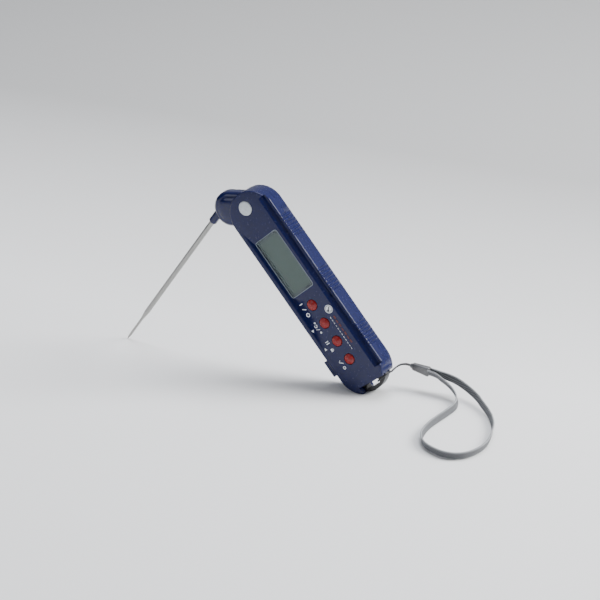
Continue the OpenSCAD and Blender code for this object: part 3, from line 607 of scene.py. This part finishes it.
def addHoop(bm, u, w, radius, width=inkSet["line"], start=0, end=360, steps=28):
    outer = arcPoints(u, w, radius + width / 2, start, end, steps)
    inner = arcPoints(u, w, radius - width / 2, start, end, steps)
    if end - start == 360:
        addInk(bm, outer[:-1], inner[:-1])
    else:
        addInk(bm, outer + inner[::-1])


def addTriangle(bm, u, w, size, toward):
    # toward: 1 points to the head end of the case, -1 to the eyelet end
    base, point = w + toward * size * 0.5, w - toward * size * 0.6
    addInk(bm, [(u - size * 0.6, base), (u + size * 0.6, base), (u, point)])


bm = bmesh.new()
mid, half = inkSet["labelU"], inkSet["half"]
addStroke(bm, (mid - half, 69.6), (mid + half, 69.6))
addStroke(bm, (mid - half, 72.6), (mid + half, 74.2))
addHoop(bm, mid, *inkSet["ring"])
addHoop(bm, mid + inkSet["degreeUp"], inkSet["degrees"][0], inkSet["degreeRadius"])
addHoop(bm, mid - 0.1, *inkSet["arc"], start=-60, end=240)
addStroke(bm, (mid - half, 88.2), (mid + half, 89.4), 0.28)
addHoop(bm, mid + inkSet["degreeUp"], inkSet["degrees"][1], inkSet["degreeRadius"])
addStroke(bm, (mid - half, 98.2), (mid + half, 98.2))
addStroke(bm, (mid - half, 99.6), (mid + half, 99.6))
addInk(bm, roundOutline(1.3, 2.0, 0.2, mid - 0.4, inkSet["lock"], 2))
addHoop(bm, mid + 0.2, inkSet["lock"], 0.7, 0.3, -90, 90)
addStroke(bm, (mid + 0.1, 112.5), (mid - half, 113.5))
addStroke(bm, (mid - half, 113.4), (mid + half, 115.2))
addHoop(bm, mid, *inkSet["setRing"])
for w, toward in ((87.9, -1), (101.6, 1)):
    addTriangle(bm, inkSet["triangleU"], w, inkSet["triangleSize"], toward)
for i in range(inkSet["dashes"]):
    w = inkSet["dashFrom"] + inkSet["dashPitch"] * i
    addStroke(bm, (inkSet["dashU"], w), (inkSet["dashU"], w + inkSet["dashLength"]),
              inkSet["dashWide"])
printWhite = finishPiece(bm, "printWhite", inkWhite, caseSpot)
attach(printWhite, "case")

bm = bmesh.new()
blockWide, blockTall, blockRound = inkSet["blockSize"]
for i in range(inkSet["blocks"]):
    addInk(bm, roundOutline(blockWide - 0.3 * (i % 2), blockTall, blockRound,
                            inkSet["blockU"] - 0.25 * (i % 2),
                            inkSet["blockFrom"] + inkSet["blockPitch"] * i, 3))
printRed = finishPiece(bm, "printRed", inkRed, caseSpot)
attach(printRed, "case")

# the badge: a white disc with a small dark thermometer on it
bm = bmesh.new()
addDisc(bm, *inkSet["badge"], inkSet["badgeRadius"], 48)
printBadge = finishPiece(bm, "printBadge", inkWhite, caseSpot)
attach(printBadge, "case")
bm = bmesh.new()
lifted = Matrix.Translation((0, inkSet["badgeLift"], 0))
addHoop(bm, *inkSet["badge"], inkSet["badgeRing"], 0.28, steps=40)
addDisc(bm, 7.7, 82.5, 0.8)
addStroke(bm, (7.8, 82.4), (9.9, 80.7), 0.7)
addStroke(bm, (8.5, 83.6), (9.3, 83.0), 0.3)
addStroke(bm, (9.1, 84.0), (9.9, 83.4), 0.3)
badgeMark = finishPiece(bm, "badgeMark", marginGrey, caseSpot @ lifted)
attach(badgeMark, "case")


print("pivot")
capSet = {"radius": 4.7, "front": -0.5, "seat": 0.55}
outline = [(0, capSet["front"]), (1.6, capSet["front"] + 0.01), (3.2, capSet["front"] + 0.06)]
outline += arcPoints(capSet["radius"] - 0.6, capSet["front"] + 0.7, 0.6, -80, 0, 6)
outline += [(capSet["radius"], capSet["seat"]), (0, capSet["seat"])]
cap = spinProfile("pivotCap", outline, capSilver, caseSpot, 72)
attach(cap, "case")
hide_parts("pivot_cap")

print("probe head")
headSet = {"barrel": 8.5, "bulb": 11.5, "bulbX": -9.5, "bulbZ": -12.8, "front": 3.8,
           "split": 11.3, "rear": 12.6, "frontEdge": 3.4, "rearEdge": 0.7,
           "dome": 1.1, "steps": 60}


def wrapOutline(inset, y):
    # the barrel and the bulb as two circles with one band round them, drawn in by the inset
    reach = math.hypot(headSet["bulbX"], headSet["bulbZ"])
    facing = math.atan2(headSet["bulbZ"], headSet["bulbX"])
    turn = math.acos((headSet["barrel"] - headSet["bulb"]) / reach)
    points = []
    for radius, x, z, start, end in (
            (headSet["bulb"], headSet["bulbX"], headSet["bulbZ"], facing - turn, facing + turn),
            (headSet["barrel"], 0, 0, facing + turn, facing - turn + math.tau)):
        for i in range(headSet["steps"] + 1):
            angle = start + (end - start) * i / headSet["steps"]
            points.append((x + (radius - inset) * math.cos(angle), y,
                           z + (radius - inset) * math.sin(angle)))
    return points


def headBlock(name, levels, mat):
    # levels: (inset, depth) pairs from the back edge to the middle of the front
    bm = bmesh.new()
    rings = [[bm.verts.new(p) for p in wrapOutline(inset, y)] for inset, y in levels]
    for lower, upper in zip(rings, rings[1:]):
        for k in range(len(lower)):
            n = (k + 1) % len(lower)
            bm.faces.new((lower[k], lower[n], upper[n], upper[k]))
    bm.faces.new(rings[0])
    bm.faces.new(rings[-1])
    return finishPiece(bm, name, mat, probeSpot, 40)


edge, front, dome = headSet["frontEdge"], headSet["front"], headSet["dome"]
levels = [(0, headSet["split"])]
levels += [(edge - r, y) for r, y in arcPoints(0, front + dome + edge, edge, 0, -90, 12)]
levels += [(edge + x, front + dome * (1 - x / 5) ** 2) for x in (1, 2, 3, 4, 4.8)]
headFront = headBlock("headFront", levels, headPlastic)
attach(headFront, "probe")
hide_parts("probe_head_front")
rear, rearEdge = headSet["rear"], headSet["rearEdge"]
levels = [(-0.1, headSet["split"] + 0.1)]
levels += [(rearEdge - 0.1 - r, y) for r, y in arcPoints(0, rear - rearEdge, rearEdge, 0, 90, 6)]
headRear = headBlock("headRear", levels, blackPlastic)
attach(headRear, "probe")
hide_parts("probe_head_rear")

print("floor and light")
# The floor's colour goes from pale to darker grey between 0.05 m and 0.45 m back along y. This is
# painted shade for the light falling off towards the back.
floorSet = {"near": "#eaeae9", "far": "#b0b0af", "from": 0.05, "to": 0.45}
floorMat, shader = newMaterial("paleTableWithPaintedShade", floorSet["near"], Roughness=0.8, IOR=1.45)
place = addNode(floorMat, "ShaderNodeTexCoord")
split = addNode(floorMat, "ShaderNodeSeparateXYZ", links={"Vector": (place, "Object")})
depth = addNode(floorMat, "ShaderNodeMapRange",
                {"From Min": floorSet["from"], "From Max": floorSet["to"]}, {"Value": (split, "Y")})
paintedFloorShade = colorRamp(floorMat, depth, "Result", [(0.0, floorSet["near"]), (1.0, floorSet["far"])])
linkTo(floorMat, paintedFloorShade, "Color", shader, "Base Color")
mottle(floorMat, shader, 1.4, None, (0.75, 0.9), (0.15, 0.05))
bm = bmesh.new()
bmesh.ops.create_grid(bm, x_segments=1, y_segments=1, size=4)
floor = finishPiece(bm, "floor", floorMat, Matrix.Identity(4), 0)

world = bpy.data.worlds.new("studio")
bpy.context.scene.world = world
world.use_nodes = True
# the room is dim on the near side and bright behind, above and to the right
skyPlace = addNode(world, "ShaderNodeTexCoord")
skySet = {"toward": (0.2, 0.42, 0.42), "middle": 0.5, "strength": 0.6,
          "stops": [(0.15, "#22252b"), (0.5, "#8a8e95"), (0.85, "#eef0f4")]}
skyTurn = addNode(world, "ShaderNodeVectorMath",
                  {"operation": "DOT_PRODUCT", 1: skySet["toward"]}, {0: (skyPlace, "Generated")})
skyLevel = addNode(world, "ShaderNodeMath", {"operation": "ADD", 1: skySet["middle"]},
                   {0: (skyTurn, "Value")})
sky = colorRamp(world, skyLevel, "Value", skySet["stops"])
skyGlow = world.node_tree.nodes["Background"]
skyGlow.inputs["Strength"].default_value = skySet["strength"]
linkTo(world, sky, "Color", skyGlow, "Color")


def softLight(name, place, aim, size, power, color):
    data = bpy.data.lights.new(name, "AREA")
    data.shape = "RECTANGLE"
    data.size, data.size_y = size
    data.energy = power
    data.color = srgb(color)[:3]
    light = bpy.data.objects.new(name, data)
    bpy.context.scene.collection.objects.link(light)
    light.location = place
    light.rotation_euler = (Vector(place) - Vector(aim)).to_track_quat("Z", "Y").to_euler()


# place and aim in metres, size of the panel in metres, power in watts
lightSet = {
    "windowLight": ((1.3, 0.7, 1.1), (0.03, 0, 0.05), (0.9, 0.9), 54, "#ffffff"),
    "nearLight": ((-0.9, -1.6, 0.9), (0.03, 0, 0.06), (1.2, 1.2), 9, "#f2f5ff"),
    "overheadLight": ((0.1, 0.5, 1.6), (0.03, 0, 0.05), (1.2, 0.8), 30, "#f4f7ff"),
}
for name, values in lightSet.items():
    softLight(name, *values)
